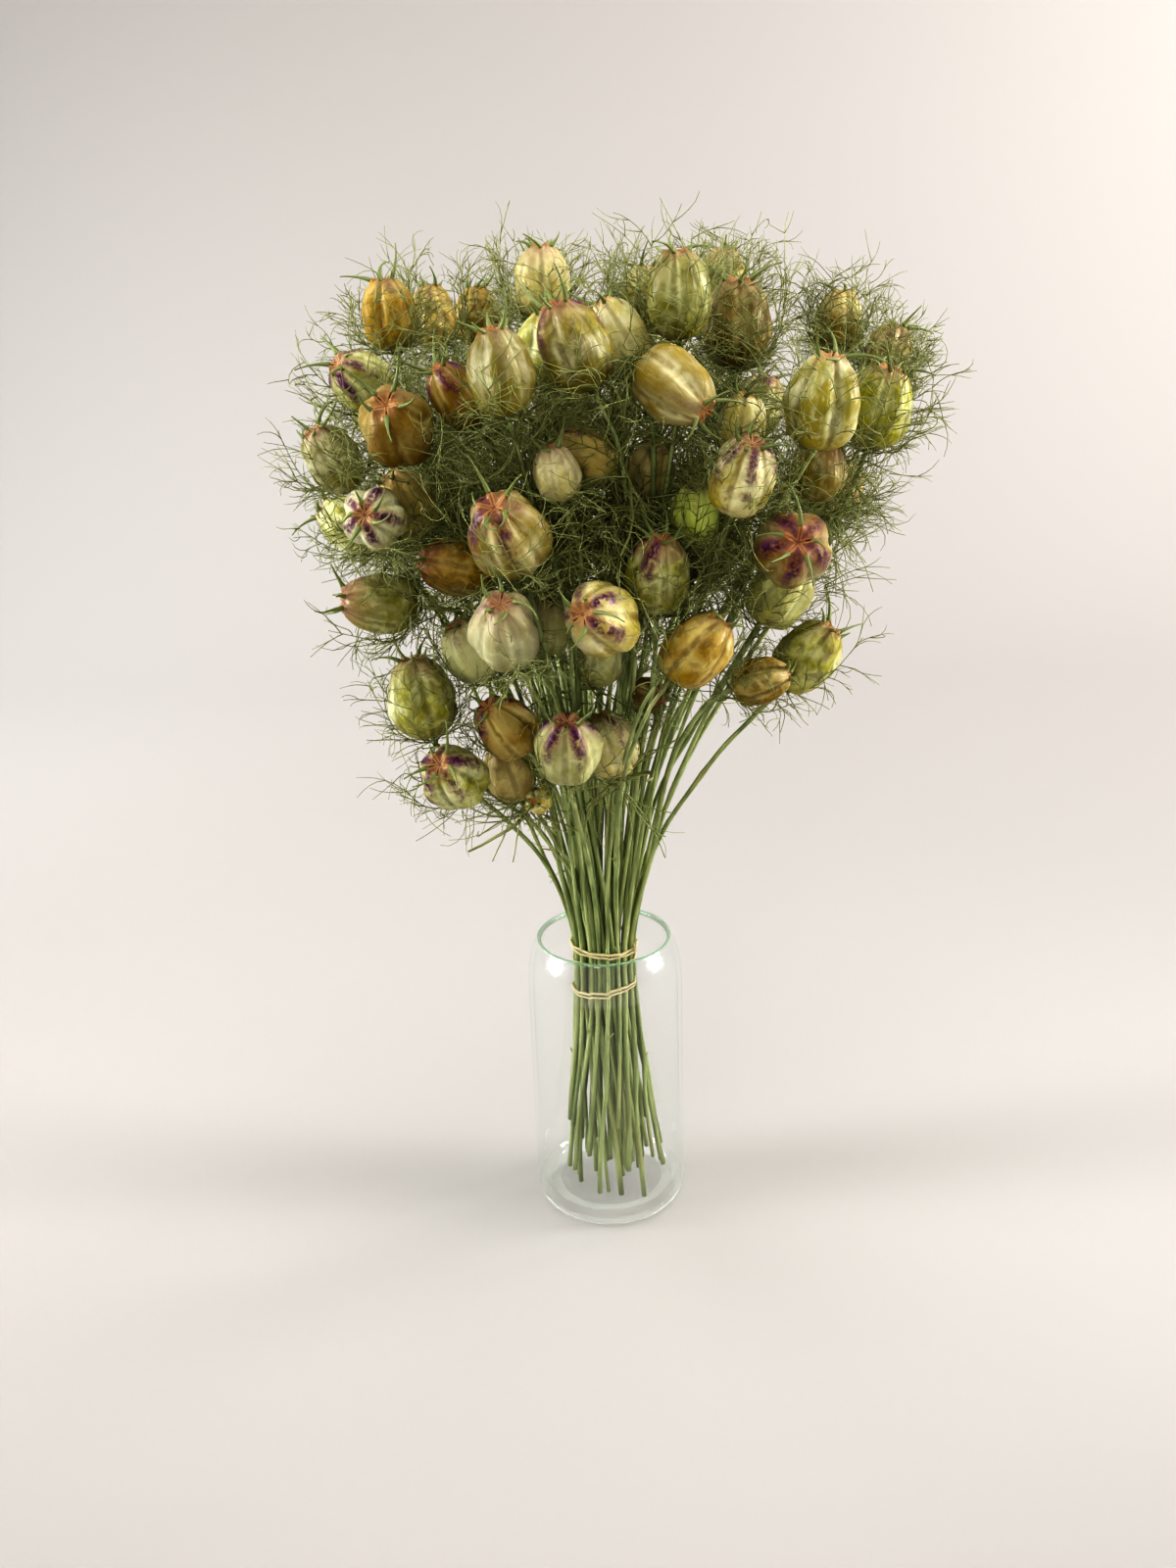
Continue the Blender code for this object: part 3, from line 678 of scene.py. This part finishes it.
def capsule_finish(name):
    """The skin of one kind of capsule."""
    main, pale, dark = PALETTES[name.split("_")[0]]
    skin = Finish("capsule_" + name, roughness=0.4)
    skin.put(skin.shader, {"Specular IOR Level": 0.3, "Sheen Weight": 0.03, "Sheen Tint": (1.0, 0.95, 0.8)})
    _, across, along, stripe = skin.attribute("skin")
    _, gap, out, split = skin.attribute("crown")
    grown, *_ = skin.attribute("grown")
    _, tone, tone_two, drying_and_painted_light = skin.attribute("tone")
    cloud = skin.noise(grown, 1.2, 4, 0.5)
    fibre = skin.noise(skin.stretched(grown, (7, 7, 1.4)), 1.6, 4, 0.2)
    blot = skin.noise(grown, 2.6, 3, 0.8)
    side = across * across
    # yellower below and paler above, the paleness above partly painted light on the capsules' tops; clouded,
    # with dark patches
    colour = skin.mix(along.between(0.05, 0.5, 0.75, 0), main, skin.mix(0.35, main, (0.52, 0.40, 0.015)))
    colour = skin.mix((cloud + tone * 0.2 + along * 0.25).between(0.55, 0.95, 0, 0.85), colour, pale)
    colour = skin.mix((fibre * 0.7 + blot * 0.3).between(0.5, 0.66, 0, 0.4), colour, pale)
    colour = skin.mix((blot * 0.7 + tone_two * 0.3).between(0.42, 0.66, 0, 0.65), colour, dark)
    # darker by the capsule's listed amount: partly how dark it dried, partly painted shade
    colour = skin.mix(drying_and_painted_light, colour, dark)
    # papery pale edges beside each crease, partly a painted highlight on the lobes' flanks that grows up the
    # capsule, and a soft dark line in the crease, which is painted shade
    edge = side.between(0.45, 0.9) * cloud.between(0.3, 0.6)
    colour = skin.mix(edge * along.between(0.15, 0.6, 0.1, 0.5), colour, pale)
    # painted shade: the crease is darkened where shade falls between the lobes
    painted_crease_shade = side.between(0.8, 1.0) * blot.between(0.3, 0.6, 0.15, 0.6)
    colour = skin.mix(painted_crease_shade, colour, dark)
    colour = skin.mix(along.between(0.0, 0.2, 0.5, 0), colour, (0.20, 0.21, 0.03))
    # the net of veins and the thin keel of each lobe
    veins = skin.node(
        "ShaderNodeTexVoronoi",
        {"feature": "DISTANCE_TO_EDGE"},
        {"Vector": skin.stretched(grown, (2.6, 2.6, 1.1)), "Scale": 1.3},
        out="Distance",
    )
    vein = veins.between(0.0, 0.03, 1, 0) * fibre.between(0.35, 0.6) * along.between(0.1, 0.8, 0.7, 0.1)
    vein = vein.math("MAXIMUM", side.between(0.0, 0.004, 1, 0) * fibre.between(0.4, 0.6, 0, 0.3))
    colour = skin.mix(vein * 0.25, colour, (0.12, 0.09, 0.02))
    # feathered stripes, wide at the crown and fading down the crests, and a faint flush round it
    feather = skin.noise(skin.stretched(grown, (4, 4, 13)), 1.7, 4, 0.8)
    width = (along.between(0.3, 0.92, 0.06, 0.75) * stripe).math("MAXIMUM", 0.001)
    band = (side + (feather - 0.5) * 0.7) / width
    purple = band.between(0.0, 1.7, 1, 0) * (along + (blot - 0.5) * 0.7).between(0.35, 0.85)
    purple = purple * stripe.between(0.0, 0.75) * (fibre * 0.5 + blot * 0.5).between(0.36, 0.54, 0.35, 1)
    hue = skin.mix(blot.between(0.4, 0.6), (0.13, 0.012, 0.022), (0.11, 0.02, 0.095))
    hue = skin.mix(band.between(0.0, 0.6, 0.8, 0) * fibre.between(0.4, 0.55), hue, (0.030, 0.005, 0.014))
    flushed = (along * 0.6 + cloud * 0.6 + tone_two * 0.4).between(0.88, 1.2, 0, 0.6)
    colour = skin.mix(flushed * along.between(0.4, 0.8), colour, (0.20, 0.085, 0.045))
    # paler by a listed amount below zero: painted light on capsules that sit in shadow
    colour = skin.mix(drying_and_painted_light * -1, colour, pale)
    colour = skin.mix(purple, colour, hue)
    # the star: a brown flush, two orange ribs along each crease, and the slit between them, painted near
    # black as painted shade for the dark inside of the open mouth
    flush = (out + gap * 0.8 + (blot - 0.5) * 0.4).between(0.28, 0.74, 0.7, 0) * along.between(0.7, 0.8)
    colour = skin.mix(flush, colour, skin.mix(tone_two, (0.24, 0.11, 0.03), (0.20, 0.09, 0.06)))
    ribs = gap.line(0.04, 0.03) * out.between(0.36, 0.5, 1, 0) * along.between(0.7, 0.8)
    colour = skin.mix(ribs * 0.9, colour, skin.mix(tone, (0.42, 0.17, 0.045), (0.44, 0.27, 0.12)))
    slit_shade = gap.between(0.008, 0.024, 1, 0) * out.line(0.27, 0.16) * split * along.between(0.7, 0.8)
    colour = skin.mix(slit_shade.between(0.1, 0.5), colour, (0.006, 0.005, 0.004))
    skin.put(skin.shader, {"Base Color": colour, "Roughness": fibre.between(0.3, 0.7, 0.3, 0.48)})
    crumple = (skin.noise(skin.stretched(grown, (1, 1, 0.5)), 1.7, 2, 0.3) - 0.5).math("ABSOLUTE")
    skin.bump(fibre * 0.2 + vein * 0.15 + crumple * 2, 0.8 * MM)
    return skin


for name in sorted({capsule.finish for capsule in capsules}):
    shape = bmesh.new()
    layers = {key: shape.verts.layers.float_vector.new(key) for key in ("skin", "crown", "grown", "tone")}
    for capsule in capsules:
        if capsule.finish == name:
            capsule_skin(shape, capsule, layers)
    kind = name.removesuffix("_stalk")
    piece = mesh_piece("capsules_" + kind, shape, [capsule_finish(kind)])
    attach(piece, "root")
    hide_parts(*(node for node in stalk_nodes if finish_of[node] == name))

# ---------------------------------------------------------------- Styles
# Five dried horns on each capsule, one at the end of each mouth: broad at the root, curving up and
# out to a fine point. Some are broken off.
STYLE_STEPS = 9
style_green = Finish("style_green", roughness=0.5)
style_green.put(style_green.shader, {"Base Color": (0.17, 0.20, 0.07)})
style_brown = Finish("style_brown", roughness=0.5)
style_brown.put(style_brown.shader, {"Base Color": (0.26, 0.15, 0.07)})
style_lines = []
for capsule in capsules:
    rng = random.Random(capsule.seed + 7)
    brown = rng.random() < 0.3
    for k in range(5):
        around = FIFTH * (k + 0.5) + rng.uniform(-0.08, 0.08)
        length = capsule.radius * rng.choice((0.35, 0.6, 0.8, 1.0, 1.3))
        lean, curl, twist = rng.uniform(0.4, 1.2), rng.uniform(-0.8, 1.3), rng.uniform(-0.7, 0.7)
        out, up = 0.36 * capsule.radius, 0.955 * capsule.length
        line = []
        for j in range(STYLE_STEPS):
            s = j / (STYLE_STEPS - 1)
            line.append((capsule.point(out, around + twist * s, up), MM * (0.3 + 0.9 * (1 - s) ** 2)))
            out += length / STYLE_STEPS * math.sin(lean + curl * s)
            up += length / STYLE_STEPS * math.cos(lean + curl * s)
        style_lines.append((int(brown), line))
five_sided = section_curve("five_sided", 5)
styles = tube_piece("styles", style_lines, [style_green, style_brown], five_sided)
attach(styles, "root")

# ---------------------------------------------------------------- Bracts and leaves
# The mist: bracts under each capsule, cut into forking, curling threads that stand round it, and the last
# thread-like leaves of the upper stems. A green, a grey, a deep and a tan dried tint; the deep one, near
# black, is partly the threads' own dark and partly painted shade, drawn most inside the bunch.
THREAD_TINTS = (
    ("thread_green", (0.22, 0.235, 0.09)),
    ("thread_grey", (0.54, 0.54, 0.36)),
    ("thread_deep", (0.025, 0.03, 0.010)),
    ("thread_tan", (0.48, 0.39, 0.19)),
)
DEEP_SHADE_TINT = 2
thread_finishes = []
for name, colour in THREAD_TINTS:
    thread_finish = Finish(name, roughness=0.6)
    thread_finish.put(thread_finish.shader, {"Base Color": colour})
    thread_finishes.append(thread_finish)
three_sided = section_curve("three_sided", 3)
# how full the mist is, where it isn't as on most: nearly bare capsules and bushy ones
FULLNESS = {
    "bud": 0.6, "stalk_01": 1.3, "stalk_02": 1.3, "stalk_03": 1.3, "stalk_07": 1.4,
    "stalk_08": 2.0, "stalk_09": 2.6, "stalk_10": 2.8, "stalk_11": 2.6, "stalk_15": 0.7,
    "stalk_17": 0.45, "stalk_20": 1.5, "stalk_22": 1.3, "stalk_25": 0.4, "stalk_31": 0.6,
    "stalk_34": 0.7, "stalk_37": 0.35, "stalk_38": 0.5, "stalk_39": 0.3, "stalk_41": 0.4,
    "stalk_43": 0.4, "stalk_44": 0.3, "stalk_45": 0.6, "stalk_46": 0.4, "stalk_47": 0.7,
    "stalk_48": 0.3, "stalk_49": 0.6, "stalk_54": 0.5, "stalk_55": 0.6, "stalk_56": 0.5,
    "stalk_57": 0.5,
}
STRAY = 13 * MM
LEAVES_PER_MM = 1.6


def within_reach(point):
    """True if a point is no further out than the mist may stand proud of the solids' box."""
    return all(low - STRAY < c < high + STRAY for c, low, high in zip(point, *cad_bounds))


def thread(rng, start, way, length, turn, steps, thick):
    """A thread from a start, which bends evenly by a turn to one side, with small kinks."""
    line, point, way = [], start.copy(), way.normalized()
    bend = Matrix.Rotation(turn / steps, 3, any_way(rng))
    for k in range(steps + 1):
        line.append((point.copy(), thick * (1 - 0.5 * k / steps)))
        point += length / steps * way
        if not within_reach(point):
            break
        way = (bend @ way + 0.06 * any_way(rng)).normalized()
    return line


def clear(line, own=None):
    """True if a thread neither runs through a capsule nor hides one from the near side of the bunch."""
    for capsule in capsules:
        if capsule is own:
            continue
        centre = capsule.base + capsule.length / 2 * capsule.axis
        outlook = Vector((0, -1 if centre.y < 15 * MM else 1, 0.2)).normalized()
        for point, _ in line[1::2]:
            reach = point - centre
            along = reach.dot(outlook)
            beside = reach.length_squared - along * along
            if -capsule.radius < along < 0.14 and beside < (0.86 * capsule.radius) ** 2:
                return False
    return True


def forked(rng, tint, start, way, length, forks, thick=0.25 * MM):
    """A thread with smaller threads that fork off it."""
    branch = thread(rng, start, way, length, rng.uniform(0.4, 2.6), 6, thick)
    lines = [(tint, branch)]
    for _ in range(forks):
        if len(branch) < 5:
            break
        i = rng.randrange(1, len(branch) - 2)
        fork_way = (branch[i + 1][0] - branch[i][0]).normalized() + 0.35 * any_way(rng)
        reach = length * rng.uniform(0.35, 0.8)
        lines.append((tint, thread(rng, branch[i][0], fork_way, reach, rng.uniform(0.5, 2.6), 4, 0.21 * MM)))
    return [(index, line) for index, line in lines if len(line) > 2]


def bract_lines(capsule, rng, bracts, branches):
    lines = []
    dry = "amber" in capsule.finish or "dusky" in capsule.finish
    tints = (3, 4, 3, 5) if dry else (5, 3, 5, 0.6)
    for b in range(bracts):
        around = math.tau * (b + rng.uniform(-0.35, 0.35)) / bracts
        spread = capsule.radius * rng.uniform(1.03, 1.6)
        height = capsule.length * rng.uniform(0.65, 1.3)
        twist, tint = rng.uniform(-0.7, 0.7), rng.choices(range(4), tints)[0]
        rib = []
        for k in range(9):
            s = k / 8
            bulge = math.sin(min(1.0, s * 1.3) * math.pi / 2)
            out = 0.08 * capsule.radius + spread * bulge * (1 - 0.15 * s * s)
            up = -0.06 * capsule.length + height * s**1.5
            rib.append((capsule.point(out, around + twist * s, up), MM * (0.34 - 0.17 * s)))
        lines.append((tint, rib))
        for k in range(branches):
            s = 0.08 + 0.9 * (k + rng.random()) / branches
            i = min(7, int(8 * s))
            start = rib[i][0].lerp(rib[i + 1][0], 8 * s - i)
            along = (rib[i + 1][0] - rib[i][0]).normalized()
            away = capsule.outward(around + twist * s)
            sideways = capsule.axis.cross(away) * (1 if k % 2 else -1)
            way = along * rng.uniform(0.3, 1.1) + sideways * rng.uniform(0.4, 1.2)
            way += away * rng.uniform(-0.1, 0.7)
            length = capsule.radius * rng.uniform(0.8, 1.9)
            own = rng.choices(range(4), tints)[0] if rng.random() < 0.25 else tint
            lines += forked(rng, own, start, way, length, rng.choice((1, 2, 2)))
    return [(index, line) for index, line in lines if clear(line, capsule) and within_reach(line[-1][0])]


def leaf_lines(rng, line):
    """Thread-like leaves on the upper part of one stem: the higher its capsule, the further down."""
    crown = line[-1][0]
    reach = MM * max(12.0, min(118.0, 12 + (crown.z / MM - 322) * 0.95))
    lines = []
    for (point, _), (after, _) in zip(line, line[1:]):
        step = (after - point).length
        if (crown - point).length > reach:
            continue
        inner = math.hypot(point.x, point.y) < 62 * MM
        # thick near-black threads inside the bunch: painted shade between the stems
        if inner and point.z < 0.4 and rng.random() < 0.55:
            way = (after - point).normalized() + 0.7 * any_way(rng)
            length, turn = MM * rng.uniform(30, 60), rng.uniform(0.4, 1.8)
            lines.append((DEEP_SHADE_TINT, thread(rng, point, way, length, turn, 6, MM * rng.uniform(0.9, 1.5))))
        for _ in range(round(step / MM * LEAVES_PER_MM + rng.random() - 0.5)):
            way = (after - point).normalized() * rng.uniform(-0.1, 0.9) + 0.7 * any_way(rng)
            # inside the bunch the deep tint is drawn most: painted shade for the inner threads
            tint = rng.choices(range(4), (3, 4.5, 5, 2.5) if inner else (4, 3, 4, 0.8))[0]
            length = MM * rng.uniform(18, 36) * (1.3 if inner else 1.0)
            start = point.lerp(after, rng.random())
            lines += forked(rng, tint, start, way, length, 1, MM * (0.55 if inner else 0.32))
    return [(index, line) for index, line in lines if clear(line)]


for part in range(4):
    lines = []
    for capsule in capsules[part::4]:
        rng = random.Random(capsule.seed + 13)
        full = FULLNESS.get(capsule.node, 1.0)
        lines += bract_lines(capsule, rng, round(7 * full), rng.choice((10, 12, 14)))
    bract = tube_piece(f"bracts_{part + 1}", lines, thread_finishes, three_sided)
    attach(bract, "root")
for part in range(2):
    rng = random.Random(5 + part)
    lines = [twig for line in leafy[part::2] for twig in leaf_lines(rng, line)]
    leaves = tube_piece(f"leaves_{part + 1}", lines, thread_finishes, three_sided)
    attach(leaves, "root")

for section in (ribbed, round_section, five_sided, three_sided):
    bpy.data.objects.remove(section)
